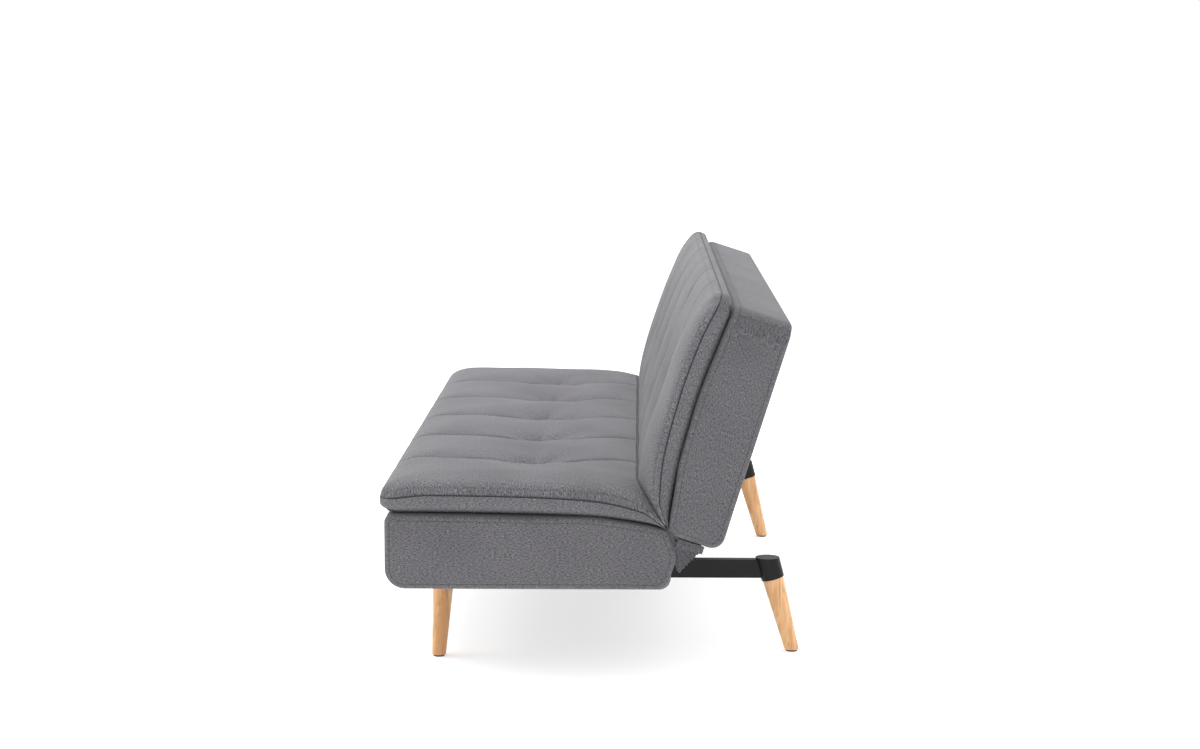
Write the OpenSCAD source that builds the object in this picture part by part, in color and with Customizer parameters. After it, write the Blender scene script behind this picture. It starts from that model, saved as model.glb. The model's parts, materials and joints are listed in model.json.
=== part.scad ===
// Click-clack futon sofa bed: an upholstered seat box and backrest box on two steel
// base bars with four turned wooden legs. The backrest folds about two ratchet hinges.
// X runs along the length, -Y is the front, +Z is up. The origin is on the floor,
// under the centre of the sofa with its backrest up.

/* [Overall] */
// Length of the sofa, side to side
length = 1800; // [1500:10:2160]
// Depth of the sofa with the backrest up
depth = 875; // [730:5:1050]
// Length of the backrest box, bottom face to top face
back_h = 480; // [400:5:576]

/* [Seat box] */
// Height of the seat box's underside above the floor
seat_base = 202; // [170:1:240]
// Thickness of the seat box
seat_t = 148; // [135:1:178]
// How far the rear feet stand out behind the seat box
rear_reach = 269.5; // [225:0.5:320]
// Radius of the seat box's long edges
seat_edge_r = 22; // [16:1:27]
// How far the front rail stands back from the rounded front edge
front_pad = 14; // [8:1:20]
// How far the rear rail stands in from the rounded rear edge
rear_pad = 2; // [1:0.5:4]
// Padding between the rails and the cover at the two ends
end_pad = 28; // [23:1:34]

/* [Backrest box] */
// Thickness of the backrest box
back_t = 138; // [130:1:150]
// Radius of the backrest box's long edges
back_edge_r = 22; // [16:1:27]
// Radius of the backrest box's two top corners, seen from the front
back_corner_r = 48; // [30:1:58]
// Padding between the top rail and the cover
top_pad = 30; // [26:1:36]
// Gap under the bottom rail, from the cover's bottom face
bottom_pad = 20; // [17:1:24]
// Thickness of the wadding behind the backrest frame
wadding_t = 15.5; // [13:0.5:18]

/* [Toppers] */
// Thickness of the seat topper at its crowns
seat_topper_t = 70; // [58:1:84]
// Thickness of the backrest topper at its crowns
back_topper_t = 62; // [52:1:74]
// How far a topper's crowns stand above its cross seams
crown_h = 12; // [8:1:14]
// Thickness of a topper at its two ends
topper_end_t = 38; // [32:1:45]
// How far the seat topper overhangs the seat box's front
front_lip = 12.5; // [8:0.5:15]
// How far the backrest topper overhangs the backrest box's top
top_lip = 16; // [10:1:20]
// How far each topper stays inside the boxes' ends
topper_inset = 4; // [2:1:8]
// Number of channels sewn into each topper
channels = 6; // [5:1:7]
// Radius of a topper's long free edges
topper_edge_r = 26; // [16:1:28]

/* [Covers] */
// Thickness of the woven covers
cover_t = 2; // [1.5:0.1:2.4]
// Thickness of the loose fabric gussets and strips
strip_t = 1.5; // [1:0.1:2]

/* [Frames] */
// Thickness of the frame rails
rail_t = 24; // [20:0.2:29]
// Height of the seat rails
seat_rail_h = 66; // [60:1:72]
// Depth of the backrest rails, front to back
back_rail_h = 60; // [54:1:64]
// Height of the cross rails
cross_rail_h = 40; // [34:1:48]
// Clear height above the rails for the springs
spring_room = 10; // [9:1:12]
// Number of springs in each frame
springs = 10; // [8:2:12]
// Diameter of the spring wire
spring_d = 4; // [3.4:0.1:4.8]
// Diameter of the frame screws' shanks
screw_d = 5; // [4.2:0.1:6]
// Length of the frame screws
screw_l = 60; // [50:1:72]

/* [Hinges] */
// Lean of the backrest from upright when it is up
lean = 18; // [15:1:21]
// Depth of the hinge pin below the boxes' upper faces
pivot_depth = 48.5; // [42:0.5:56]
// Gap from the hinge pin to the backrest box's bottom face
hinge_gap = 8; // [7:0.5:10]
// Forward over-travel that frees the ratchet, in degrees
over_travel = 10; // [8:1:12]
// Thickness of the hinge plates
plate_t = 4; // [3.4:0.1:4.8]
// Diameter of the hinge pins
pin_d = 10; // [8.4:0.1:12]
// Radial running clearance of the hinge and pawl pins
run_gap = 0.08; // [0.03:0.01:0.1]
// Outer radius of the ratchet sector
sector_r = 34; // [28:0.2:41]
// Depth of the ratchet notches
notch_d = 6; // [5:0.5:7]
// Diameter of the pawl pins
pawl_pin_d = 6; // [5:0.1:7.2]

/* [Base] */
// Distance of each base bar from the sofa's end
bar_inset = 293; // [245:1:350]
// Height of the base bar tube
bar_h = 40; // [34:1:48]
// Width of the base bar tube
bar_w = 20; // [17:0.5:24]
// Wall of the base bar tube
bar_wall = 2; // [1.5:0.1:2.4]
// Distance of the front legs' centres from the seat box's front
front_leg_inset = 96.6; // [80:0.1:116]
// Diameter of the legs in their sockets
leg_d = 46; // [38:0.2:56]
// Diameter of the legs at the floor
foot_d = 30; // [25:0.5:36]
// Wall of the leg sockets
socket_wall = 2; // [1.5:0.1:2.4]
// Backward rake of the rear legs, in degrees
rear_rake = 15; // [12:0.5:18]
// Outward splay of the front legs, in degrees
front_splay = 17; // [14:0.5:20]
// Forward rake of the front legs, in degrees
front_rake = 2.4; // [0:0.1:5]
// Height of the floor glides
glide_h = 4; // [3:0.5:5]
// Diameter of the base bolts
bolt_d = 8; // [7:0.1:9.6]

/* [Hidden] */

// ---- places worked out from the sizes above ----
half_l = length / 2;
seat_front = -depth / 2 + front_lip;
seat_rear = depth / 2 - rear_reach;
seat_top = seat_base + seat_t;
pivot_set = 2;
pivot_y = seat_rear - pivot_set;
pivot_z = seat_top - pivot_depth;
// angle from upright of the plane midway between the seat's and the backrest's faces
half_fold = (90 - lean) / 2;
// a little more room than the over-travel needs, in degrees
fold_spare = 0.5;
fold_gap = 1;

rail_base = seat_base + cover_t;
rail_top = rail_base + seat_rail_h;
frame_front = seat_front + seat_edge_r + front_pad;
frame_rear = seat_rear - seat_edge_r - rear_pad;
frame_end = half_l - end_pad;
spring_bay_top = rail_top + spring_room;

// hinge planes, measured along X on the left side
bracket_out = frame_end - rail_t;
bracket_in = bracket_out - plate_t;
plate_gap = 0.5;
arm_out = bracket_in - plate_gap;
arm_in = arm_out - plate_t;
back_end = arm_out + rail_t;
pocket_spare = 3.5;
pocket_in = arm_in - pocket_spare;
pocket_w = bracket_out + 2 - pocket_in;

// backrest frame, measured from the hinge pin with the backrest upright
back_face = -pivot_depth;
back_rear = back_face + back_t;
back_bottom = hinge_gap;
back_top = back_bottom + back_h;
back_rail_rear = back_rear - cover_t - wadding_t;
back_rail_front = back_rail_rear - back_rail_h;
back_frame_low = back_bottom + bottom_pad;
back_frame_high = back_top - top_pad;
back_bay_front = back_rail_front - spring_room;

// pawl pivot and nose, measured from the hinge pin
pawl_reach = 28;
pawl_y = -sector_r - pawl_reach;
pawl_z = -19.5;
nose_gap = 0.8;
nose_a = 204.7;
pawl_eye_r = 7.5;

bar_x = half_l - bar_inset;
bar_mid = seat_base - bar_h / 2;
front_leg_y = seat_front + front_leg_inset;
socket_r = leg_d / 2 + socket_wall;
socket_drop = 22;
rear_socket_rise = 4;
leg_top_rear = 12;
leg_top_front = 8;
leg_drop = bar_mid - glide_h;
leg_run = leg_drop / cos(rear_rake);
leg_taper = (leg_d - foot_d) / 2 / (leg_run - socket_drop);
// where the rear edge of the raked, tapered leg meets the level cut at its foot,
// so that the rear feet end exactly at the sofa's depth
heel_run = (leg_drop + (leg_d / 2 + leg_taper * socket_drop) * sin(rear_rake))
  / (cos(rear_rake) + leg_taper * sin(rear_rake));
heel_r = leg_d / 2 - leg_taper * (heel_run - socket_drop);
rear_leg_y = depth / 2 - heel_run * sin(rear_rake) - heel_r * cos(rear_rake);

arc_steps = 6;
// base bolts along each bar, the first one clear of the front leg's socket
bolt_behind_leg = 54;
bolt_rows = [
  front_leg_y + bolt_behind_leg,
  (frame_front + frame_rear) / 2,
  frame_rear - (frame_rear - frame_front) / 5
];

// ---- helpers ----
function arc(c, r, a0, a1, n = arc_steps) =
  [for (i = [0:n]) let (a = a0 + (a1 - a0) * i / n) c + r * [cos(a), sin(a)]];
function mix(a, b, t) = a + (b - a) * t;
// where a line that leans back from a face at height h meets the plane between the
// two boxes, c off that plane, seen from the hinge pin
function fold_reach(h, angle, c) = (c + sin(angle) * h) / cos(angle);

module on_side(s) {
  if (s > 0) children();
  else mirror([1, 0, 0]) children();
}
module both_sides() {
  children();
  mirror([1, 0, 0]) children();
}
// a YZ outline drawn out along X
module along_x(l, points) {
  rotate([90, 0, 90]) linear_extrude(l, center = true) polygon(points);
}
// a YZ plate from x0 to x0 + t
module plate_x(x0, t) {
  translate([x0, 0, 0]) rotate([90, 0, 90]) linear_extrude(t) children();
}
module pin_x(x0, l, d, fn = 32) {
  translate([x0, 0, 0]) rotate([0, 90, 0]) cylinder(d = d, h = l, $fn = fn);
}
module block(low, high) {
  translate(low) cube(high - low);
}
module at_pivot() {
  translate([0, pivot_y, pivot_z]) children();
}
// the backrest's own frame: hinge pin at the origin, backrest upright along +Z
module in_back() {
  at_pivot() rotate([-lean, 0, 0]) children();
}

// ---- outlines ----
// seat box seen from its end, e inside the outer surface
function seat_outline(e) = let (
  r = seat_edge_r - e,
  f = seat_front + e,
  b = seat_base + e,
  q = seat_rear - e,
  t = seat_top - e,
  top_y = pivot_y - fold_reach(t - pivot_z, half_fold, fold_gap + e),
  low_z = pivot_z - (fold_gap + e + cos(half_fold) * (q - pivot_y)) / sin(half_fold)
) concat(
  arc([f + r, b + r], r, 180, 270),
  arc([q - r, b + r], r, 270, 360),
  [[q, low_z], [top_y, t]],
  arc([f + r, t - r], r, 90, 180)
);
// seat topper seen from its end
function seat_topper_outline(e) = let (
  r = topper_edge_r - e,
  f = -depth / 2 + e,
  b = seat_top + e,
  t = seat_top + seat_topper_t - e,
  low_y = pivot_y - fold_reach(b - pivot_z, half_fold, fold_gap + e),
  top_y = pivot_y - fold_reach(t - pivot_z, half_fold, fold_gap + e)
) concat(
  arc([f + r, b + r], r, 180, 270),
  [[low_y, b], [top_y, t]],
  arc([f + r, t - r], r, 90, 180)
);
// the backrest's cut face turns back from the fold plane by the over-travel
back_fold = 90 - (half_fold + lean - over_travel - fold_spare);
function back_cut_z(y, e) = (fold_gap + e - sin(back_fold) * y) / cos(back_fold);
function back_cut_y(z, e) = (fold_gap + e - cos(back_fold) * z) / sin(back_fold);
function back_outline(e) = let (
  r = back_edge_r - e,
  f = back_face + e,
  b = back_bottom + e,
  q = back_rear - e,
  t = back_top - e
) concat(
  [[f, back_cut_z(f, e)], [back_cut_y(b, e), b]],
  arc([q - r, b + r], r, 270, 360),
  arc([q - r, t - r], r, 0, 90),
  arc([f + r, t - r], r, 90, 180)
);
function back_topper_outline(e) = let (
  r = topper_edge_r - e,
  f = back_face - back_topper_t + e,
  q = back_face - e,
  t = back_top + top_lip - e
) concat(
  [[f, back_cut_z(f, e)], [q, back_cut_z(q, e)]],
  arc([q - r, t - r], r, 0, 90),
  arc([f + r, t - r], r, 90, 180)
);
// backrest seen from the front, with its rounded top corners
function back_front_outline(e) = let (
  r = back_corner_r - e,
  x = half_l - e,
  t = back_top - e
) concat(
  [[-x, 0], [x, 0]],
  arc([x - r, t - r], r, 0, 90),
  arc([-x + r, t - r], r, 90, 180)
);
// a topper seen along its channels: one crown to each channel
function crown_points(t, e) = let (
  x = half_l - topper_inset - e,
  w = 2 * (half_l - topper_inset) / channels,
  seam_t = t - crown_h
) concat(
  [[-x, e]],
  [for (k = [0:channels - 1])
    for (i = [k == 0 ? 0 : 1:arc_steps + 2])
      let (
        a = 180 * i / (arc_steps + 2),
        cx = -half_l + topper_inset + (k + 0.5) * w,
        outer = (k == 0 && a < 90) || (k == channels - 1 && a > 90),
        low = outer ? topper_end_t : seam_t,
        px = cx - w / 2 * cos(a)
      ) [max(-x, min(x, px)), mix(low, t, sin(a)) - e]],
  [[x, e]]
);

// ---- seat frame ----
module hinge_pocket() {
  ahead = 16;
  behind = 10;
  round_sector = 4;
  reach = -pawl_y + pawl_eye_r + ahead;
  room = sector_r + round_sector;
  at_pivot() both_sides()
    block([pocket_in, -reach, -room], [pocket_in + pocket_w, behind, room]);
}
module rail_screw_places(y, z0, h) {
  for (z = [z0 + h * 0.25, z0 + h * 0.75])
    translate([0, y, z]) children();
}
module frame_screw(x_head) {
  head_h = 3;
  pin_x(x_head - screw_l, screw_l, screw_d, 24);
  pin_x(x_head - head_h, head_h, screw_d * 2, 24);
}
module seat_screws() {
  both_sides()
    for (y = [frame_front + rail_t / 2, frame_rear - rail_t / 2])
      rail_screw_places(y, rail_base, seat_rail_h) frame_screw(frame_end);
}
module seat_front_rail() {
  color("burlywood") difference() {
    block([-bracket_out, frame_front, rail_base], [bracket_out, frame_front + rail_t, rail_top]);
    seat_screws();
  }
}
module seat_rear_rail() {
  color("burlywood") difference() {
    block([-bracket_out, frame_rear - rail_t, rail_base], [bracket_out, frame_rear, rail_top]);
    seat_screws();
    hinge_pocket();
  }
}
module seat_side_rail(s) {
  color("burlywood") on_side(s) difference() {
    block([bracket_out, frame_front, rail_base], [frame_end, frame_rear, rail_top]);
    seat_screws();
    seat_bracket_screw_set();
  }
}
module seat_cross_rails() {
  color("burlywood") difference() {
    for (x = [-bar_x, 0, bar_x])
      block([x - rail_t / 2, frame_front + rail_t, rail_base],
            [x + rail_t / 2, frame_rear - rail_t, rail_base + cross_rail_h]);
    bar_bolt_set(bolt_d);
  }
}
module seat_frame_screws() {
  color("silver") seat_screws();
}

// ---- springs: flat zigzags of wire between two rails ----
spring_amp = 22;
spring_waves = 5;
spring_tail = 12;
function spring_line(l) = let (n = spring_waves * 8) concat(
  [[0, 0]],
  [for (i = [0:n]) [spring_amp * sin(360 * spring_waves * i / n),
                    mix(spring_tail, l - spring_tail, i / n)]],
  [[0, l]]
);
// the two edges of a strip of width w along a line
function strip_edge(p, w) = [for (i = [0:len(p) - 1]) let (
  a = p[max(i - 1, 0)],
  b = p[min(i + 1, len(p) - 1)],
  d = (b - a) / norm(b - a)
) p[i] + w / 2 * [-d[1], d[0]]];
function strip(p, w) = let (l = strip_edge(p, w), r = strip_edge(p, -w))
  concat(l, [for (i = [len(r) - 1:-1:0]) r[i]]);
// clear space between the hinge arms and the outer springs' half pitch
spring_margin = 40;
// how far the springs' ends stand in from the rails' outer faces
spring_end_in = 4;
module spring_row() {
  row_half = arm_in - spring_margin;
  pitch = 2 * row_half / springs;
  for (i = [0:springs - 1])
    translate([(i + 0.5) * pitch - row_half, 0, 0]) children();
}
module spring_set(l) {
  spring_row() linear_extrude(spring_d) polygon(strip(spring_line(l), spring_d));
}
module clip_set(l) {
  clip_w = 18;
  clip_l = 14;
  clip_roof = 3;
  difference() {
    spring_row() for (y = [0, l - clip_l])
      block([-clip_w / 2, y, 0], [clip_w / 2, y + clip_l, spring_d + clip_roof]);
    spring_set(l);
  }
}
module at_seat_springs() {
  translate([0, frame_front + spring_end_in, rail_top]) children();
}
seat_spring_l = frame_rear - frame_front - 2 * spring_end_in;
module seat_springs() {
  color("dimgray") at_seat_springs() spring_set(seat_spring_l);
}
module seat_spring_clips() {
  color("gray") at_seat_springs() clip_set(seat_spring_l);
}

// ---- seat upholstery ----
module seat_foam() {
  color("khaki") difference() {
    along_x(length - 2 * cover_t, seat_outline(cover_t));
    block([-frame_end, frame_front, seat_base], [frame_end, frame_rear, spring_bay_top]);
    hinge_pocket();
  }
}
module dust_area(z0, z1) {
  lap = rail_t / 2;
  block([-frame_end + lap, frame_front + lap, z0], [frame_end - lap, frame_rear - lap, z1]);
}
module seat_cover() {
  color("dimgray") difference() {
    along_x(length, seat_outline(0));
    along_x(length - 2 * cover_t, seat_outline(cover_t));
    dust_area(seat_base - 1, rail_base + 1);
    hinge_pocket();
  }
}
module seat_dust_cover() {
  color("black") difference() {
    dust_area(seat_base, rail_base);
    bar_bolt_set(bolt_d + 1);
  }
}
module seat_topper_body(e) {
  intersection() {
    along_x(length, seat_topper_outline(e));
    translate([0, 0, seat_top]) rotate([90, 0, 0]) linear_extrude(2 * depth, center = true)
      polygon(crown_points(seat_topper_t, e));
  }
}
module seat_topper_fill() {
  color("white") seat_topper_body(cover_t);
}
module seat_topper_cover() {
  color("gray") difference() {
    seat_topper_body(0);
    seat_topper_body(cover_t);
  }
}

// ---- base ----
module at_rear_leg() {
  translate([bar_x, rear_leg_y, bar_mid]) rotate([rear_rake, 0, 0]) children();
}
module at_front_leg() {
  translate([bar_x, front_leg_y, bar_mid]) rotate([-front_rake, -front_splay, 0]) children();
}
// what is cut level at height z
module under(z) {
  reach = 2 * bar_h;
  intersection() {
    children();
    block([0, -depth, -reach], [length, depth, z]);
  }
}
module socket_body() {
  translate([0, 0, -socket_drop]) cylinder(r = socket_r, h = socket_drop + bar_h, $fn = 64);
}
module socket_hole(leg_top) {
  translate([0, 0, -socket_drop - 1]) cylinder(d = leg_d, h = socket_drop + 1 + leg_top, $fn = 64);
}
hanger_l = 50;
hanger_up = 5;
module hanger(leg_top) {
  translate([0, 0, leg_top + hanger_up - hanger_l]) cylinder(d = bolt_d, h = hanger_l, $fn = 24);
}
module bar_bolt_set(d) {
  below_top = 4;
  l = cross_rail_h - below_top + bar_h + cover_t;
  both_sides() for (y = bolt_rows)
    translate([bar_x, y, seat_base - bar_h])
      cylinder(d = d, h = l, $fn = 24);
}
module bar_tube(w, h) {
  block([bar_x - w / 2, front_leg_y, bar_mid - h / 2], [bar_x + w / 2, rear_leg_y, bar_mid + h / 2]);
}
module base_bar(s) {
  color("black") on_side(s) difference() {
    union() {
      difference() {
        bar_tube(bar_w, bar_h);
        bar_tube(bar_w - 2 * bar_wall, bar_h - 2 * bar_wall);
      }
      under(seat_base + rear_socket_rise) at_rear_leg() socket_body();
      under(seat_base) at_front_leg() socket_body();
    }
    at_rear_leg() socket_hole(leg_top_rear);
    at_front_leg() socket_hole(leg_top_front);
    at_rear_leg() hanger(leg_top_rear);
    at_front_leg() hanger(leg_top_front);
    bar_bolt_set(bolt_d + 1);
  }
}
// a turned leg: straight in its socket, then tapered and cut level above its glide
module leg_body(leg_top) {
  spare = 14;
  l = leg_run - socket_drop + spare;
  translate([0, 0, -socket_drop]) cylinder(d = leg_d, h = socket_drop + leg_top, $fn = 64);
  translate([0, 0, -socket_drop - l])
    cylinder(r1 = leg_d / 2 - leg_taper * l, r2 = leg_d / 2, h = l, $fn = 64);
}
module above_glide() {
  difference() {
    children();
    block([0, -depth, -bar_h], [length, depth, glide_h]);
  }
}
module leg_front(s) {
  color("peru") on_side(s) above_glide() at_front_leg() difference() {
    leg_body(leg_top_front);
    hanger(leg_top_front);
  }
}
module leg_rear(s) {
  color("peru") on_side(s) above_glide() at_rear_leg() difference() {
    leg_body(leg_top_rear);
    hanger(leg_top_rear);
  }
}
module leg_bolts() {
  color("silver") both_sides() {
    at_front_leg() hanger(leg_top_front);
    at_rear_leg() hanger(leg_top_rear);
  }
}
module foot_glides() {
  glide_d = foot_d * 0.8;
  color("black") both_sides() {
    translate([bar_x, rear_leg_y + leg_drop * tan(rear_rake), 0])
      cylinder(d = glide_d, h = glide_h, $fn = 48);
    translate([bar_x + leg_drop * tan(front_splay),
               front_leg_y - leg_drop * tan(front_rake) / cos(front_splay), 0])
      cylinder(d = glide_d, h = glide_h, $fn = 48);
  }
}
module bar_bolts() {
  head_h = 5;
  color("silver") {
    bar_bolt_set(bolt_d);
    both_sides() for (y = bolt_rows)
      translate([bar_x, y, seat_base - bar_h - head_h])
        cylinder(d = bolt_d * 1.8, h = head_h, $fn = 6);
  }
}

// ---- hinges ----
// the rear rail's front face and the rails' top, from the hinge pin
rail_y = frame_rear - rail_t - pivot_y;
rail_z = rail_top - pivot_z;
// the plates' screws stop this far short of the rails' far faces
plate_screw_short = 6;
plate_head_h = 3;
// screw places on the seat's side rails, from the hinge pin
bracket_screws = [[rail_y - 82, rail_z - 38], [rail_y - 50, rail_z - 20], [rail_y - 26, rail_z - 44]];
module seat_bracket_screw_set() {
  at_pivot() for (p = bracket_screws)
    translate([0, p[0], p[1]]) {
      pin_x(bracket_in, plate_t + rail_t - plate_screw_short, screw_d, 24);
      pin_x(bracket_in - plate_head_h, plate_head_h, screw_d * 2, 24);
    }
}
module hinge_seat_bracket(s) {
  boss_r = pin_d * 1.7;
  color("darkgray") on_side(s) difference() {
    at_pivot() plate_x(bracket_in, plate_t) {
      polygon([[rail_y - 96, rail_z - 52], [rail_y - 12, rail_z - 54], [rail_y - 4, rail_z + 1.5],
               [-boss_r, -14], [0, boss_r], [pawl_y - 4, pawl_z + 14],
               [pawl_y - 14, pawl_z - 8], [rail_y - 96, rail_z - 24]]);
      circle(r = boss_r, $fn = 48);
    }
    at_pivot() pin_x(bracket_in - 1, plate_t + 2, pin_d, 48);
    at_pivot() translate([0, pawl_y, pawl_z]) pin_x(bracket_in - 1, plate_t + 2, pawl_pin_d, 32);
    seat_bracket_screw_set();
  }
}
module hinge_pin(s) {
  head_h = 2;
  head_d = pin_d * 1.6;
  color("silver") on_side(s) at_pivot() {
    pin_x(arm_in - plate_gap - head_h, bracket_out - arm_in + plate_gap + head_h, pin_d, 48);
    pin_x(arm_in - plate_gap - head_h, head_h, head_d, 48);
    pin_x(bracket_out, head_h, head_d, 48);
  }
}
module pawl_pins() {
  head_h = 1.5;
  color("silver") both_sides() at_pivot() translate([0, pawl_y, pawl_z]) {
    pin_x(arm_in - plate_gap - head_h, bracket_out - arm_in + plate_gap + head_h, pawl_pin_d, 32);
    pin_x(arm_in - plate_gap - head_h, head_h, pawl_pin_d * 1.6, 32);
  }
}
module pawl(s) {
  nose = (sector_r + nose_gap) * [cos(nose_a), sin(nose_a)];
  color("gray") on_side(s) at_pivot() difference() {
    plate_x(arm_in, plate_t) {
      polygon([[pawl_y, pawl_z - pawl_eye_r], nose + [-3, -5], nose, nose + [-6, 4],
               [pawl_y, pawl_z + pawl_eye_r]]);
      translate([pawl_y, pawl_z]) circle(r = pawl_eye_r, $fn = 48);
    }
    translate([0, pawl_y, pawl_z])
      pin_x(arm_in - 1, plate_t + 2, pawl_pin_d + 2 * run_gap, 32);
  }
}
module seat_bracket_screws() {
  color("silver") both_sides() seat_bracket_screw_set();
}
// screw places on the backrest rails, along the rail's middle
arm_screw_low = 44;
arm_screw_pitch = 36;
arm_screws = [for (k = [0:2]) back_frame_low + arm_screw_low + k * arm_screw_pitch];
module back_arm_screw_set() {
  y = (back_rail_front + back_rail_rear) / 2;
  in_back() for (z = arm_screws)
    translate([0, y, z]) {
      pin_x(arm_in, plate_t + rail_t - plate_screw_short, screw_d, 24);
      pin_x(arm_in - plate_head_h, plate_head_h, screw_d * 2, 24);
    }
}
// the plate on the backrest's side rail, with a notched ratchet sector round the pin
module hinge_back_arm(s) {
  edge_in = 8;
  arm_l = 132;
  shoulder = 30;
  notches = 3;
  notch_step = 24;
  notch_w = 6;
  y0 = back_rail_front + edge_in;
  y1 = back_rail_rear - edge_in;
  top = back_frame_low + arm_l;
  notch_turn = nose_a - 180 + lean;
  color("darkgray") on_side(s) difference() {
    in_back() difference() {
      plate_x(arm_in, plate_t) {
        polygon([[-4, 0], [sector_r - 6, -8], [y1, back_frame_low + shoulder], [y1, top],
                 [y0, top], [y0, back_frame_low + shoulder]]);
        circle(r = sector_r, $fn = 64);
      }
      for (k = [0:notches - 1])
        rotate([180 + notch_turn + notch_step * k, 0, 0])
          block([arm_in - 1, sector_r - notch_d, -notch_w / 2],
                [arm_out + 1, sector_r + 2, notch_w / 2]);
      pin_x(arm_in - 1, plate_t + 2, pin_d + 2 * run_gap, 48);
      back_screws();
    }
    back_arm_screw_set();
  }
}
module back_arm_screws() {
  color("silver") both_sides() back_arm_screw_set();
}

// ---- backrest frame ----
module back_pocket() {
  reach = sector_r + 5;
  both_sides() {
    pin_x(pocket_in, pocket_w, 2 * reach, 64);
    block([pocket_in, 0, 0], [pocket_in + pocket_w, back_rail_rear, back_frame_low]);
  }
}
module back_screws() {
  both_sides()
    for (z = [back_frame_low + rail_t / 2, back_frame_high - rail_t / 2])
      for (t = [0.25, 0.75])
        translate([0, mix(back_rail_front, back_rail_rear, t), z]) frame_screw(back_end);
}
module back_rail(x0, x1, z0, z1) {
  block([x0, back_rail_front, z0], [x1, back_rail_rear, z1]);
}
module back_top_rail() {
  color("burlywood") in_back() difference() {
    back_rail(-arm_out, arm_out, back_frame_high - rail_t, back_frame_high);
    back_screws();
  }
}
module back_bottom_rail() {
  color("burlywood") in_back() difference() {
    back_rail(-arm_in + 1, arm_in - 1, back_frame_low, back_frame_low + rail_t);
    back_screws();
  }
}
module back_side_rail(s) {
  color("burlywood") difference() {
    in_back() difference() {
      on_side(s) back_rail(arm_out, back_end, back_frame_low, back_frame_high);
      back_screws();
    }
    both_sides() back_arm_screw_set();
  }
}
module back_cross_rails() {
  color("burlywood") in_back()
    for (x = [-bar_x, 0, bar_x])
      back_rail(x - rail_t / 2, x + rail_t / 2, back_frame_low + rail_t, back_frame_high - rail_t);
}
module back_frame_screws() {
  color("silver") in_back() back_screws();
}
module at_back_springs() {
  in_back() translate([0, back_rail_front, back_frame_low + spring_end_in])
    rotate([90, 0, 0]) children();
}
back_spring_l = back_frame_high - back_frame_low - 2 * spring_end_in;
module back_springs() {
  color("dimgray") at_back_springs() spring_set(back_spring_l);
}
module back_spring_clips() {
  color("gray") at_back_springs() clip_set(back_spring_l);
}

// ---- backrest upholstery ----
module back_shape(e) {
  intersection() {
    along_x(length - 2 * e, back_outline(e));
    rotate([90, 0, 0]) linear_extrude(4 * back_t, center = true)
      polygon(back_front_outline(e));
  }
}
module back_bay(y1) {
  block([-back_end, back_bay_front, back_frame_low], [back_end, y1, back_frame_high]);
}
module back_foam() {
  color("khaki") in_back() difference() {
    back_shape(cover_t);
    back_bay(back_rear);
    back_pocket();
  }
}
module back_wadding() {
  color("white") in_back() intersection() {
    back_shape(cover_t);
    block([-back_end, back_rail_rear, back_frame_low], [back_end, back_rear, back_frame_high]);
  }
}
module back_cover() {
  color("dimgray") in_back() difference() {
    back_shape(0);
    back_shape(cover_t);
    back_pocket();
  }
}
module back_topper_body(e) {
  intersection() {
    along_x(length, back_topper_outline(e));
    translate([0, back_face, 0]) linear_extrude(2 * back_h)
      polygon([for (p = crown_points(back_topper_t, e)) [p[0], -p[1]]]);
  }
}
module back_topper_fill() {
  color("white") in_back() back_topper_body(cover_t);
}
module back_topper_cover() {
  color("gray") in_back() difference() {
    back_topper_body(0);
    back_topper_body(cover_t);
  }
}

// ---- loose fabric over the fold ----
gusset_r = 70;
gusset_x = half_l - 4;
fold_low = -84;
fold_high = -lean - 4;
function fan(r0, r1, a0, a1) = concat(arc([0, 0], r0, a0, a1), arc([0, 0], r1, a1, a0));
module gusset(s) {
  color("dimgray") on_side(s) at_pivot() plate_x(gusset_x - strip_t, strip_t)
    polygon(fan(sector_r / 2, gusset_r, fold_low + 4, fold_high - 3));
}
module rear_gap_strip() {
  color("dimgray") at_pivot()
    along_x(2 * (gusset_x - strip_t), fan(gusset_r - strip_t, gusset_r, fold_low, fold_high));
}
module crease_strip() {
  r = 64;
  a0 = 90 + half_fold - 2;
  a1 = a0 - over_travel + 3;
  color("gray") at_pivot() along_x(length - 60, fan(r, r + strip_t, a0, a1));
}

seat_front_rail();
seat_rear_rail();
seat_side_rail(1);  // seat_side_rail_left
seat_side_rail(-1);  // seat_side_rail_right
seat_cross_rails();
seat_frame_screws();
seat_springs();
seat_spring_clips();
seat_foam();
seat_cover();
seat_dust_cover();
seat_topper_fill();
seat_topper_cover();
base_bar(1);  // base_bar_left
base_bar(-1);  // base_bar_right
leg_front(1);  // leg_front_left
leg_front(-1);  // leg_front_right
leg_rear(1);  // leg_rear_left
leg_rear(-1);  // leg_rear_right
leg_bolts();
foot_glides();
bar_bolts();
hinge_seat_bracket(1);  // hinge_seat_bracket_left
hinge_seat_bracket(-1);  // hinge_seat_bracket_right
hinge_pin(1);  // hinge_pin_left
hinge_pin(-1);  // hinge_pin_right
pawl(1);  // pawl_left
pawl(-1);  // pawl_right
pawl_pins();
seat_bracket_screws();
back_top_rail();
back_bottom_rail();
back_side_rail(1);  // back_side_rail_left
back_side_rail(-1);  // back_side_rail_right
back_cross_rails();
back_frame_screws();
back_springs();
back_spring_clips();
back_foam();
back_wadding();
back_cover();
back_topper_fill();
back_topper_cover();
hinge_back_arm(1);  // hinge_back_arm_left
hinge_back_arm(-1);  // hinge_back_arm_right
back_arm_screws();
gusset(1);  // gusset_left
gusset(-1);  // gusset_right
rear_gap_strip();
crease_strip();
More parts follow.
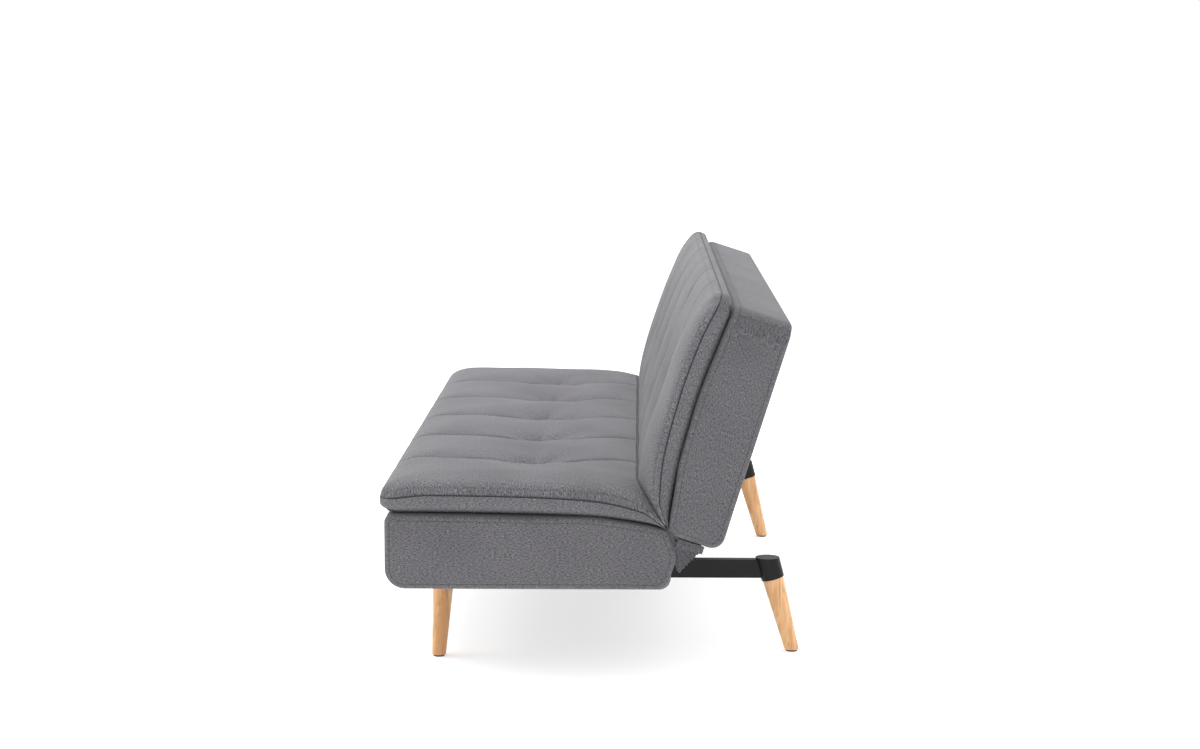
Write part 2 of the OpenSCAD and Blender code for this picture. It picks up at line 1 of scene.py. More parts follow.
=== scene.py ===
# %% [markdown]
# # A click-clack sofa bed, upholstered and lit
# This lesson dresses a finished frame: wooden rails, steel hinges and bars come ready made and stay put.
# What we add is everything an upholsterer adds: covers, sewn toppers, seams and the soft folds at the hinge.
# Each step says what the piece is on the real sofa, how it could be made, and why it is made this way.

# %% Open the frame
import bpy
import json
import math
import numpy as np
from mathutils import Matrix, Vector


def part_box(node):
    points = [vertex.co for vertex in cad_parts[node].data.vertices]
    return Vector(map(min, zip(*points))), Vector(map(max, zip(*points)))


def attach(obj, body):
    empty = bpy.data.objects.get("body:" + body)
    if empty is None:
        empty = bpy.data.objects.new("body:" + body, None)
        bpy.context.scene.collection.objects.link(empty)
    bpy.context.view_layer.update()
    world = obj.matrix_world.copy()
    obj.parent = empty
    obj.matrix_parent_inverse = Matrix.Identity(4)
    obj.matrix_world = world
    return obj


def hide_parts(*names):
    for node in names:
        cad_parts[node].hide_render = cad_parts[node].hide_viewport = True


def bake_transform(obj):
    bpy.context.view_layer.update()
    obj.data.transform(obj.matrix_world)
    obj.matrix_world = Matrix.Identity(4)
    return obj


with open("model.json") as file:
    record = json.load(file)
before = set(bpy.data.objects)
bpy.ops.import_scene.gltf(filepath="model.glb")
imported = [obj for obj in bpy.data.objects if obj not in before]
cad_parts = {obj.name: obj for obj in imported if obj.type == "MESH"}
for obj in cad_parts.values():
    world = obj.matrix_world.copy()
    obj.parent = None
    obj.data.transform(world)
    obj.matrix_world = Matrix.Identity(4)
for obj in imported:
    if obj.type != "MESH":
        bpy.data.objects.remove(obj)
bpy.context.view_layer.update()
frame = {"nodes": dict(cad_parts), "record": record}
nodes = frame["nodes"]

# %% [markdown]
# ## Sizes to upholster to
# Every cover has to fit the frame under it, so its sizes are read from the boxes of the parts it covers.
# They could be typed in, but then a change to the frame would leave the covers behind.

# %% Read the sizes
seat_low, seat_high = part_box("seat_cover")
pad_low, pad_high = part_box("seat_topper_cover")
half_length = seat_high.x
half_topper = pad_high.x
recline = next(j for j in frame["record"]["behaviour"]["joints"] if j["name"] == "backrest_recline")
hinge_y, hinge_z = recline["pos_m"][1], recline["pos_m"][2]
lean = math.radians(18)
half_fold = math.radians(36)
fold_slope = math.tan(half_fold)
deck = seat_high.z - hinge_z
print("half length", round(half_length, 3), "hinge at", hinge_y, hinge_z, "deck over hinge", round(deck, 4))

# %% Two helpers that place a point on the seat or on the backrest
def on_seat(x, along, height):
    """along runs forward from the hinge, height up from it."""
    return np.stack([x, hinge_y - along, hinge_z + height], axis=-1)


def on_back(x, along, height):
    """along runs up the leaning backrest from the hinge, height out of its front."""
    return np.stack([x, hinge_y - height * math.cos(lean) + along * math.sin(lean),
                     hinge_z + height * math.sin(lean) + along * math.cos(lean)], axis=-1)


print("top of the backrest", on_back(np.zeros(1), np.array([0.488]), np.zeros(1)).round(3))

# %% [markdown]
# ## Camera and studio
# A catalogue view from the sofa's left end, a little above seat height, with a long lens so that the
# far end hardly shrinks. Soft light could come from one dome, but a big soft box overhead and one in front
# give the channels their gentle shadows, so the dome only lifts the dark side.

# %% Camera
pitch, yaw = math.radians(7.681), math.radians(0.971)
forward = Vector((-math.cos(pitch) * math.cos(yaw), -math.cos(pitch) * math.sin(yaw), -math.sin(pitch)))
camera_data = bpy.data.cameras.new("studio_camera")
camera_data.lens = 68.4
camera_data.sensor_width = 36.0
camera_data.dof.use_dof = False
camera = bpy.data.objects.new("studio_camera", camera_data)
camera.location = (5.42, 0.0895, 1.2503)
camera.rotation_mode = "QUATERNION"
camera.rotation_quaternion = forward.to_track_quat("-Z", "Y")
bpy.context.scene.collection.objects.link(camera)
bpy.context.scene.camera = camera
print("camera at", tuple(round(c, 3) for c in camera.location))

# %% Lights
def soft_box(name, place, target, size, power):
    light = bpy.data.lights.new(name, "AREA")
    light.shape = "RECTANGLE"
    light.size, light.size_y = size
    light.energy = power
    lamp = bpy.data.objects.new(name, light)
    lamp.location = place
    lamp.rotation_mode = "QUATERNION"
    lamp.rotation_quaternion = (Vector(target) - Vector(place)).to_track_quat("-Z", "Y")
    bpy.context.scene.collection.objects.link(lamp)
    return lamp


soft_box("overhead_soft_box", (-0.6, -0.4, 3.3), (0, 0, 0.3), (3.2, 2.2), 92)
soft_box("front_soft_box", (-0.4, -3.2, 2.2), (0, 0, 0.4), (2.6, 1.6), 34)
world = bpy.data.worlds.new("studio_dome")
world.use_nodes = True
world.node_tree.nodes["Background"].inputs["Color"].default_value = (1.0, 1.0, 1.0, 1.0)
world.node_tree.nodes["Background"].inputs["Strength"].default_value = 1.0
bpy.context.scene.world = world
bpy.context.scene.view_settings.view_transform = "Standard"
print("two soft boxes and a dome")


# %% [markdown]
# ## Writing shader maths as Python
# A finish is a small formula. Wiring it by hand is slow to read, so one class wraps a socket and lets + - * /
# add the Math nodes. Colours and vectors keep to Mix and Vector Math, because a Math node would turn them
# grey.

# %% The finish writer
class Flow:
    """A value travelling through a finish's nodes."""

    def __init__(self, socket, tree):
        self.socket, self.tree = socket, tree

    def join(self, operation, *parts):
        return Finish.add_to(self.tree, "ShaderNodeMath", {"operation": operation}, dict(enumerate(parts)))

    def __add__(self, other): return self.join("ADD", self, other)
    def __radd__(self, other): return self.join("ADD", other, self)
    def __sub__(self, other): return self.join("SUBTRACT", self, other)
    def __rsub__(self, other): return self.join("SUBTRACT", other, self)
    def __mul__(self, other): return self.join("MULTIPLY", self, other)
    def __rmul__(self, other): return self.join("MULTIPLY", other, self)
    def __truediv__(self, other): return self.join("DIVIDE", self, other)
    def __pow__(self, other): return self.join("POWER", self, other)


class Finish:
    """A named material with its Principled shader and one way to add any node."""

    def __init__(self, name, roughness=0.8, **fixed):
        self.material = bpy.data.materials.new(name)
        self.material.use_nodes = True
        self.tree = self.material.node_tree
        self.shader = self.tree.nodes["Principled BSDF"]
        self.shader.inputs["Roughness"].default_value = roughness
        for socket, value in fixed.items():
            self.shader.inputs[socket.replace("_", " ")].default_value = value

    @staticmethod
    def add_to(tree, kind, settings, sockets, output=0):
        node = tree.nodes.new(kind)
        for setting, value in settings.items():
            if setting == "stops":
                ramp = node.color_ramp
                while len(ramp.elements) < len(value):
                    ramp.elements.new(0.5)
                for stop, (place, colour) in zip(ramp.elements, value):
                    stop.position, stop.color = place, (*colour, 1.0)
            else:
                setattr(node, setting, value)
        for socket, value in sockets.items():
            if isinstance(value, Flow):
                tree.links.new(value.socket, node.inputs[socket])
            elif value is not None:
                node.inputs[socket].default_value = value
        return Flow(node.outputs[output], tree)

    def node(self, kind, settings=None, sockets=None, output=0):
        return self.add_to(self.tree, kind, settings or {}, sockets or {}, output)

    def noise(self, place, scale, detail=2.0, roughness=0.5):
        return self.node("ShaderNodeTexNoise", {}, {"Vector": place, "Scale": scale, "Detail": detail,
                                                    "Roughness": roughness})

    def stretch(self, place, by):
        return self.node("ShaderNodeVectorMath", {"operation": "MULTIPLY"}, {0: place, 1: by})

    def ramp(self, value, low, high, start=0.0, end=1.0):
        return self.node("ShaderNodeMapRange", {"interpolation_type": "SMOOTHSTEP"},
                         {0: value, 1: low, 2: high, 3: start, 4: end})

    def blend(self, factor, first, second):
        return self.node("ShaderNodeMix", {"data_type": "RGBA"}, {0: factor, 6: first, 7: second}, 2)

    def feed(self, **links):
        for socket, value in links.items():
            self.tree.links.new(value.socket, self.shader.inputs[socket.replace("_", " ")])
        return self

    def bump(self, height, distance, strength=1.0, after=None):
        return self.node("ShaderNodeBump", {}, {"Height": height, "Distance": distance, "Strength": strength,
                                                "Normal": after})


def rgb(r, g, b):
    return (r, g, b, 1.0)


print("finish writer ready")

# %% [markdown]
# ## The woven cover cloth
# The covers are a melange linen-look weave: grey yarns of slightly different depth, so short pale and dark
# slubs lie along the weft. A printed picture of cloth would smear on the folds, so the yarns are drawn
# from the cloth's own measurements: a map named cloth holds metres along the warp and weft.

# %% The melange weave
def melange(name, pale, mid, dark, yarn=0.0013, slub=1.0, sewn=0.8, fuzz=0.15):
    cloth = Finish(name, 0.92, Sheen_Weight=fuzz, Sheen_Roughness=0.45, Specular_IOR_Level=0.18)
    place = cloth.node("ShaderNodeUVMap", {"uv_map": "cloth"})
    weft = cloth.noise(cloth.stretch(place, (190.0, 860.0, 1.0)), 1.0, 1.0)
    warp = cloth.noise(cloth.stretch(place, (860.0, 290.0, 1.0)), 1.0, 1.0)
    tuft_of_fibre = cloth.noise(cloth.stretch(place, (125.0, 430.0, 1.0)), 1.0, 2.0)
    shade = cloth.noise(cloth.stretch(place, (5.0, 5.0, 1.0)), 1.0, 2.0)
    melt = weft * 0.50 + warp * 0.34 + tuft_of_fibre * 0.16
    darker = cloth.ramp(melt, 0.49, 0.49 - 0.085 / slub)
    paler = cloth.ramp(melt, 0.53, 0.53 + 0.085 / slub)
    colour = cloth.blend(darker, mid, dark)
    colour = cloth.blend(paler, colour, pale)
    colour = cloth.blend(cloth.ramp(shade, 0.35, 0.7, 0.0, 0.22), colour, dark)
    apart = cloth.node("ShaderNodeSeparateXYZ", {}, {0: place})
    across = cloth.node("ShaderNodeSeparateXYZ", {}, {0: place}, 1)
    over = cloth.node("ShaderNodeMath", {"operation": "SINE"}, {0: apart * (2 * math.pi / (2 * yarn))})
    under = cloth.node("ShaderNodeMath", {"operation": "SINE"}, {0: across * (2 * math.pi / (2 * yarn))})
    weave = over * under * 0.5 + 0.5
    height = weave * 0.55 + weft * 0.5 + warp * 0.3
    normal = cloth.bump(height, 0.0006, 0.55)
    creases = cloth.noise(cloth.stretch(place, (9.0, 7.0, 1.0)), 1.0, 3.0, 0.55)
    normal = cloth.bump(creases, 0.006, 0.5, normal)
    if sewn:
        seam = cloth.node("ShaderNodeAttribute", {"attribute_name": "seam"}, {}, 2)
        stitch = cloth.node("ShaderNodeAttribute", {"attribute_name": "stitch"}, {}, 2)
        run = cloth.node("ShaderNodeAttribute", {"attribute_name": "run"}, {}, 2)
        beat = cloth.node("ShaderNodeMath", {"operation": "FRACT"}, {0: run / 0.0042})
        dash = cloth.ramp(beat, 0.62, 0.72, 1.0, 0.25) * cloth.ramp(stitch, 0.35, 0.75)
        # Along each seam line the colour is darkened to a deep grey: this is painted shade of the seam groove. On the
        # stitch dashes the same grey stands for the thread. sewn sets how strong both are.
        join = cloth.ramp(seam, 0.42, 0.98)
        seam_shade_and_thread = rgb(dark[0] * 0.42, dark[1] * 0.42, dark[2] * 0.44)
        colour = cloth.blend(join * sewn, colour, seam_shade_and_thread)
        colour = cloth.blend(dash * sewn * 0.22, colour, seam_shade_and_thread)
        pucker = cloth.node("ShaderNodeAttribute", {"attribute_name": "pucker"}, {}, 2)
        ripple = cloth.noise(run * 75.0, 1.0, 2.0)
        normal = cloth.bump(ripple * pucker, 0.0016, 0.6, normal)
        normal = cloth.bump(1.0 - join - dash * 0.25, 0.0008, 0.6, normal)
    cloth.feed(Base_Color=colour, Normal=normal)
    return cloth.material


# sewn is the strength of the painted seam shade and of the stitch dashes; the fold cloth has none.
cover_cloth = melange("cover_cloth", rgb(0.218, 0.212, 0.224), rgb(0.124, 0.120, 0.130),
                      rgb(0.058, 0.056, 0.063), sewn=0.5)
topper_cloth = melange("topper_cloth", rgb(0.262, 0.256, 0.272), rgb(0.132, 0.129, 0.139),
                       rgb(0.044, 0.042, 0.048), sewn=0.95)
fold_cloth = melange("fold_cloth", rgb(0.17, 0.166, 0.178), rgb(0.098, 0.095, 0.104),
                     rgb(0.045, 0.044, 0.050), sewn=0)
print("woven finishes:", cover_cloth.name, topper_cloth.name, fold_cloth.name)

# %% [markdown]
# ## Wood, steel and the small parts
# The legs are turned rubberwood or oak under a clear satin coat: straight grain along the leg, short dark
# pores and a warm streak here and there. The bars are black powder coat, which has a fine orange peel and
# rubs a little paler where it is handled. The rest is hidden inside but gets its own honest finish.

# %% Grain along a leg
def grained(name, pale, deep, streak, axis_scale, roughness=0.42, coat=0.25):
    wood = Finish(name, roughness, Coat_Weight=coat, Coat_Roughness=0.25, Specular_IOR_Level=0.4)
    place = wood.node("ShaderNodeTexCoord", {}, {}, 3)
    bend = wood.noise(place, 7.0, 2.0)
    along = wood.stretch(place, axis_scale)
    rings = wood.noise(along, 1.0, 4.0, 0.6)
    fine = wood.noise(wood.stretch(along, (5.0, 5.0, 2.0)), 1.0, 2.0)
    pores = wood.noise(wood.stretch(along, (9.0, 9.0, 3.5)), 1.0, 1.0)
    colour = wood.blend(wood.ramp(rings + (bend - 0.5) * 0.25, 0.38, 0.64), deep, pale)
    colour = wood.blend(wood.ramp(fine, 0.52, 0.74, 0.0, 0.45), colour, streak)
    pore = wood.ramp(pores, 0.66, 0.72)
    colour = wood.blend(pore * 0.5, colour, streak)
    wood.feed(Base_Color=colour, Roughness=rings * 0.16 + (roughness - 0.06),
              Normal=wood.bump(fine * 0.5 - pore, 0.0004, 0.5))
    return wood.material


leg_oak = grained("leg_oak", rgb(0.82, 0.49, 0.24), rgb(0.60, 0.30, 0.12), rgb(0.33, 0.14, 0.05),
                  (26.0, 26.0, 3.2))
rail_pine = grained("rail_pine", rgb(0.66, 0.47, 0.26), rgb(0.55, 0.36, 0.17), rgb(0.40, 0.22, 0.09),
                    (9.0, 30.0, 30.0), 0.7, 0.0)
print("woods:", leg_oak.name, rail_pine.name)

# %% Coated and plain metals, plastic and the hidden cloths
def coated(name, colour, worn, metallic, roughness, grain, depth, shine=0.5):
    metal = Finish(name, roughness, Metallic=metallic, Specular_IOR_Level=shine)
    place = metal.node("ShaderNodeTexCoord", {}, {}, 3)
    peel = metal.noise(place, grain, 2.0)
    wear = metal.noise(place, 14.0, 4.0, 0.6)
    metal.feed(Base_Color=metal.blend(metal.ramp(wear, 0.5, 0.75, 0.0, 0.6), colour, worn),
               Roughness=wear * 0.18 + (roughness - 0.09), Normal=metal.bump(peel, depth, 0.4))
    return metal.material


finishes = {
    "black_steel": coated("black_powder_coat", rgb(0.0055, 0.0055, 0.0065), rgb(0.014, 0.014, 0.016), 0.0, 0.40,
                          900.0, 0.0003, 0.22),
    "zinc_steel": coated("zinc_plate", rgb(0.56, 0.56, 0.57), rgb(0.40, 0.40, 0.42), 1.0, 0.36, 500.0, 0.0002),
    "hinge_steel": coated("oiled_hinge_steel", rgb(0.33, 0.33, 0.34), rgb(0.20, 0.19, 0.19), 1.0, 0.44, 420.0,
                          0.0003),
    "spring_steel": coated("blued_spring_wire", rgb(0.17, 0.17, 0.19), rgb(0.10, 0.09, 0.09), 1.0, 0.40, 600.0,
                           0.0002),
    "glide_plastic": coated("glide_plastic_black", rgb(0.028, 0.028, 0.03), rgb(0.05, 0.05, 0.05), 0.0, 0.58,
                            700.0, 0.0003),
    "foam": coated("cut_foam", rgb(0.74, 0.66, 0.44), rgb(0.66, 0.56, 0.34), 0.0, 0.95, 800.0, 0.001),
    "fibre_fill": coated("fibre_wadding", rgb(0.84, 0.84, 0.82), rgb(0.72, 0.72, 0.70), 0.0, 0.97, 260.0, 0.002),
    "dust_cloth": coated("dust_cloth_black", rgb(0.022, 0.022, 0.024), rgb(0.045, 0.045, 0.047), 0.0, 0.95,
                         1300.0, 0.0005),
    "leg_wood": leg_oak, "frame_pine": rail_pine, "cover_fabric": cover_cloth, "topper_fabric": topper_cloth,
    "fold_fabric": fold_cloth,
}
for node in nodes.values():
    for patch in node.material_slots:
        patch.material = finishes[patch.material.name]
print("finishes on the frame:", len(finishes))

# %% [markdown]
# ## Skins on a grid
# A topper's cover is one closed skin. Cubes and modifiers would round every edge alike, but a sewn cover
# needs rows of points exactly where its seams are, with a close row on either side to pull the groove in.
# So each topper starts as the outside of a block of grid lines, and a shaping function says where every
# grid point goes.

# %% Grid lines that crowd near seams
def lines(low, high, pitch, edges=(), seams=(), near=(0.0016, 0.005, 0.010, 0.018, 0.028)):
    """Sorted grid lines: even pitch, crowded at the two ends and round each seam."""
    marks = [low, high] + list(seams)
    for inset in edges:
        marks += [low + inset, high - inset]
    for seam in seams:
        marks += [seam + side * gap for gap in near for side in (-1, 1)]
    marks = sorted(m for m in marks if low - 1e-9 <= m <= high + 1e-9)
    out = [marks[0]]
    for mark in marks[1:]:
        gap = mark - out[-1]
        if gap < 0.0007:
            continue
        steps = max(1, math.ceil(gap / pitch - 1e-6))
        out += [out[-1] + gap * (s + 1) / steps for s in range(steps)]
    return np.array(out)


print("grid lines over one metre with a seam:", len(lines(0, 1, 0.02, (0.003, 0.01), (0.5,))))


# %% The skin of a block of grid lines
def block_skin(name, us, vs, ws, shape, finish):
    """shape(u, v, w) gives the points and a dict of point values. The block's sides are all closed."""
    shell = np.zeros((len(us), len(vs), len(ws)), bool)
    shell[[0, -1]] = True
    shell[:, [0, -1]] = True
    shell[:, :, [0, -1]] = True
    number = np.full(shell.shape, -1)
    number[shell] = np.arange(shell.sum())
    i, j, k = np.nonzero(shell)
    points, values = shape(us[i], vs[j], ws[k])
    rise = ws[k] * 0.05
    sides = [(number[:, :, -1], 0, (us[i], vs[j])), (number[:, :, 0], 1, (us[i], vs[j] + 3.0)),
             (number[:, 0, :], 0, (us[i], rise + 1.1)), (number[:, -1, :], 1, (us[i], rise + 1.6)),
             (number[-1], 0, (vs[j], rise + 2.1)), (number[0], 1, (vs[j], rise + 2.6))]
    quads, measure = [], []
    for grid, flip, (mu, mv) in sides:
        quad = np.stack([grid[:-1, :-1], grid[1:, :-1], grid[1:, 1:], grid[:-1, 1:]], -1).reshape(-1, 4)
        quad = quad[:, ::-1] if flip else quad
        quads.append(quad)
        measure.append(np.stack([mu[quad], mv[quad]], -1).reshape(-1, 2))
    quads, measure = np.concatenate(quads), np.concatenate(measure)
    # the seat's own directions are mirrored, so a skin that comes out inside out is turned the right way
    one, two, three, four = (points[quads[:, n]] for n in range(4))
    enclosed = (np.cross(two, three) * one).sum() + (np.cross(three, four) * one).sum()
    if enclosed < 0:
        quads = quads[:, ::-1]
        measure = measure.reshape(-1, 4, 2)[:, ::-1].reshape(-1, 2)
    print(name, "encloses", round(abs(enclosed) / 6 * 1000, 1), "litres, turned over:", bool(enclosed < 0))
    return make_skin(name, points, quads, measure, values, finish)


def make_skin(name, points, quads, measure, values, finish):
    mesh = bpy.data.meshes.new(name)
    mesh.from_pydata(points.tolist(), [], quads.tolist())
    cloth_map = mesh.uv_layers.new(name="cloth")
    cloth_map.data.foreach_set("uv", np.ascontiguousarray(measure, dtype=np.float32).ravel())
    for label, value in values.items():
        mesh.attributes.new(label, "FLOAT", "POINT").data.foreach_set("value", value.astype(np.float32))
    mesh.polygons.foreach_set("use_smooth", np.ones(len(quads), bool))
    mesh.materials.append(finish)
    mesh.update()
    piece = bpy.data.objects.new(name, mesh)
    bpy.context.scene.collection.objects.link(piece)
    print(name, "points", len(points))
    return piece


print("skin maker ready")

# %% [markdown]
# ## The two toppers
# A topper is a long flat cushion sewn to its box: a narrow boxing band round the edge, a top panel that rolls
# up from the perimeter seam, and cross seams that divide it into six channels. Half way along each cross seam
# a blind tuft pulls the filling down. At the fold both toppers press together on the plane that halves
# the angle, and at the ends their bands run out to nothing.

# %% Small curves used by the toppers
def roll(distance, width):
    return 1 - np.clip(distance / width, 0, 1)


def ease(value):
    value = np.clip(value, 0, 1)
    return value * value * (3 - 2 * value)


def wander(x, y, seed, wave):
    """A smooth, repeatable unevenness from a few crossed waves, about -1 to 1."""
    draw = np.random.default_rng(seed)
    total = np.zeros_like(x)
    for turn, phase, length in zip(draw.uniform(0, 6.28, 9), draw.uniform(0, 6.28, 9),
                                   draw.uniform(0.6, 1.6, 9)):
        total += np.sin((x * math.cos(turn) + y * math.sin(turn)) * 6.28 / (wave * length) + phase)
    return total / 4.0


print("ease(0.5) =", ease(np.array([0.5]))[0])


# %% [markdown]
# Filling presses a sewn cover outward everywhere except along its seams. A formula gives the roll of the
# edges, but only a cloth solver finds the soft, uneven swell between them, so the sewn lines are pinned
# and a short pressure run, with its travel capped, blows the panels up.

# %% Blow a sewn cover up
def swell(piece, pinned, pressure, cap, frames=14):
    rest = np.array([v.co for v in piece.data.vertices])
    outward = np.array([v.normal for v in piece.data.vertices])
    pins = piece.vertex_groups.new(name="sewn_lines")
    for step in np.unique(np.round(pinned, 1)):
        if step > 0:
            pins.add([int(n) for n in np.nonzero(np.abs(pinned - step) < 0.05)[0]], float(step), "REPLACE")
    cloth = piece.modifiers.new("pressure", "CLOTH")
    cloth.settings.quality = 4
    cloth.settings.mass = 0.35
    cloth.settings.tension_stiffness = 12
    cloth.settings.compression_stiffness = 12
    cloth.settings.shear_stiffness = 6
    cloth.settings.bending_stiffness = 0.8
    cloth.settings.vertex_group_mass = "sewn_lines"
    cloth.settings.use_pressure = True
    cloth.settings.uniform_pressure_force = pressure
    cloth.settings.effector_weights.gravity = 0
    cloth.collision_settings.use_collision = False
    cloth.point_cache.frame_start, cloth.point_cache.frame_end = 1, frames
    for frame_number in range(1, frames + 1):
        bpy.context.scene.frame_set(frame_number)
    shown = piece.evaluated_get(bpy.context.evaluated_depsgraph_get())
    blown = np.array([v.co for v in shown.data.vertices])
    piece.modifiers.remove(cloth)
    piece.vertex_groups.remove(pins)
    bpy.context.scene.frame_set(1)
    # only the part of the travel that points out of the pad is kept, so the rolls stay round
    far = np.clip(((blown - rest) * outward).sum(axis=1), 0, cap)
    rest += outward * (far * (1 - pinned))[:, None]
    piece.data.vertices.foreach_set("co", rest.ravel())
    piece.data.update()
    print(piece.name, "swelled by up to", round(far.max() * 1000, 1), "mm, mean", round(far.mean() * 1000, 1))


# %% Shape of a topper
def topper(name, length, thick, band, tuft_at, nose, put, sag, seed):
    channel = 2 * half_topper / 6
    seams = [channel * n for n in (-2, -1, 0, 1, 2)]
    edges = (0.0022, 0.0045, 0.008, 0.014, 0.022, 0.032, 0.045, 0.060, 0.078, 0.1)
    us = lines(-half_topper, half_topper, 0.021, edges, seams,
               (0.0026, 0.006, 0.010, 0.017, 0.027, 0.041, 0.058))
    vs = lines(0, length, 0.019, edges, (), ())
    round_tuft = np.array([-.04, -.028, -.018, -.01, -.004, 0, .004, .01, .018, .028, .04])
    vs = np.unique(np.round(np.concatenate([vs, tuft_at + round_tuft]), 6))
    vs = vs[np.concatenate([[True], np.diff(vs) > 0.0012])]
    ws = np.array([0, .06, .14, .24, .36, .5, .64, .77, .87, .942, 1.0])

    held_down = []

    def shape(u, v, w):
        end, free = half_topper - np.abs(u), length - v
        top = w > 0.999
        rim = (end < 1e-6) | (free < 1e-6) | (v < 1e-6)
        band_end = (band * (1 - 0.40 * np.exp(-v / 0.08)) * ease((v + 0.003) / 0.026)
                    * (1 - 0.22 * ease(1 - free / 0.10)))
        seam_h = band_end + (band * (1 - 0.25 * ease(1 - free / 0.09)) - band_end) * ease(end / 0.11)
        a, b, c = roll(end, 0.062), roll(free, nose), 0.66 * roll(v, 0.110)
        crown = np.sqrt(np.clip((1 - a * a) * (1 - b * b) * (1 - c * c), 0, 1))
        height = seam_h + (thick - seam_h) * crown
        inside = ease(end / 0.09) * ease(free / 0.10) * (0.35 + 0.65 * ease(v / 0.12))
        nearest = np.min([np.abs(u - s) for s in seams], axis=0)
        valley = 0.0058 * np.exp(-nearest / 0.030) + 0.0075 * np.exp(-(nearest / 0.0065) ** 2)
        dip = np.zeros_like(u)
        for n, s in enumerate(seams):
            du, dv = u - s, (v - tuft_at)
            far = np.sqrt(du ** 2 + (dv / 1.25) ** 2)
            angle = np.arctan2(dv, du)
            dip += 0.0165 * np.exp(-(far / 0.056) ** 2) + 0.0150 * np.exp(-far / 0.019)
            dip += 0.0085 * np.cos(6 * angle + n + seed) * (far / 0.03) * np.exp(-far / 0.026)
        height -= (valley * (0.25 + 0.75 * inside) + dip) * np.where(top, 1, 0) * np.where(rim, 0, 1)
        height += top * inside * 0.0016 * wander(u, v, seed, 0.16)
        rise = np.where(top, height, w * np.where(rim, np.where(w > 0, height, 0), 0))
        # the band bulges out and tucks under, and the top panel leans out over its seam
        inland = np.clip(np.minimum(end, free) / 0.06, 0, 1)
        bulge = 0.0045 * np.cos(np.pi / 2 * inland) + 0.0018 * np.sin(np.pi * inland)
        side = (0.0045 * np.sin(np.pi / 2 * np.clip(w / 0.8, 0, 1)) - 0.022 * np.clip(1 - w / 0.46, 0, 1) ** 1.6
                + 0.0008 * wander(u, v, seed + 5, .05))
        bulge = np.where(top, bulge, side)
        corner = 0.034 * ease(v / 0.2) + 0.004
        du = np.clip(np.abs(u) - (half_topper - corner), 0, None)
        dv = np.clip(v - (length - corner), 0, None)
        reach = np.maximum(np.hypot(du, dv), 1e-9)
        shrink = np.where((du > 0) & (dv > 0), np.maximum(du, dv) / reach, 1)
        x = np.sign(u) * (np.abs(u) - du + du * shrink + bulge * ease(1 - end / 0.07) * (end < free))
        d = v - dv + dv * shrink + bulge * ease(1 - free / 0.07) * (free <= end) * (free < v)
        rise_n = deck + sag(v, 1 - ease(end / 0.11)) + rise
        grip = np.clip(1 - v / 0.12, 0, 1)
        along = (fold_slope * rise_n + 0.0006) * grip + fold_slope * deck * (1 - grip) + d
        seam = (top & (rim | (nearest < 1e-5))).astype(float)
        stitch = (top & ((np.abs(end - 0.008) < 1e-5) | (np.abs(free - 0.008) < 1e-5))).astype(float)
        pucker = np.maximum(np.exp(-nearest / 0.016) * top, np.exp(-np.minimum(end, free) / 0.016) * 0.35)
        run = np.where(free < end, u, v) + 5
        hold = np.maximum(seam, 1.0 * (w < 0.3) + (v < 0.02))
        hold = np.maximum(hold, np.exp(-np.minimum(end, free) / 0.03) * np.where(top, 1, 0.85))
        for s in seams:
            hold = np.maximum(hold, np.exp(-(np.hypot(u - s, v - tuft_at) / 0.02) ** 2))
        held_down.append(np.clip(hold, 0, 1))
        return put(x, along, rise_n), {"seam": seam, "stitch": stitch, "pucker": pucker, "run": run}

    piece = block_skin(name, us, vs, ws, shape, topper_cloth)
    swell(piece, held_down[0], 4.0, 0.007)
    return piece


half_topper_y = hinge_y - fold_slope * deck
seat_topper = topper("seat_topper", half_topper_y - pad_low.y - 0.0055, 0.0695, 0.038, 0.262, 0.066, on_seat,
                     lambda v, at_end: 0.005 * ease(v / 0.5) - 0.0265 * np.exp(-v / 0.075) * at_end, 3)
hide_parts("seat_topper_cover", "seat_topper_fill")
back_topper = topper("back_topper", 0.4990 - fold_slope * deck, 0.063, 0.037, 0.235, 0.090, on_back,
                     lambda v, at_end: -0.010 * ease((v - 0.25) / 0.22) - 0.0265 * np.exp(-v / 0.085) * at_end, 8)
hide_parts("back_topper_cover", "back_topper_fill")

# %% [markdown]
# ## The two boxes
# Each box is foam over a wooden frame, in a fitted cover: one strip runs round it and an end panel covers
# each end, joined by a seam just inside the edge. The outline is drawn once, as corners with radii, and
# swept along the sofa. Rings of points follow the outline inward on the end panels, so the seam groove is
# real. The last ring lies flat on a line and its two sides are not joined.

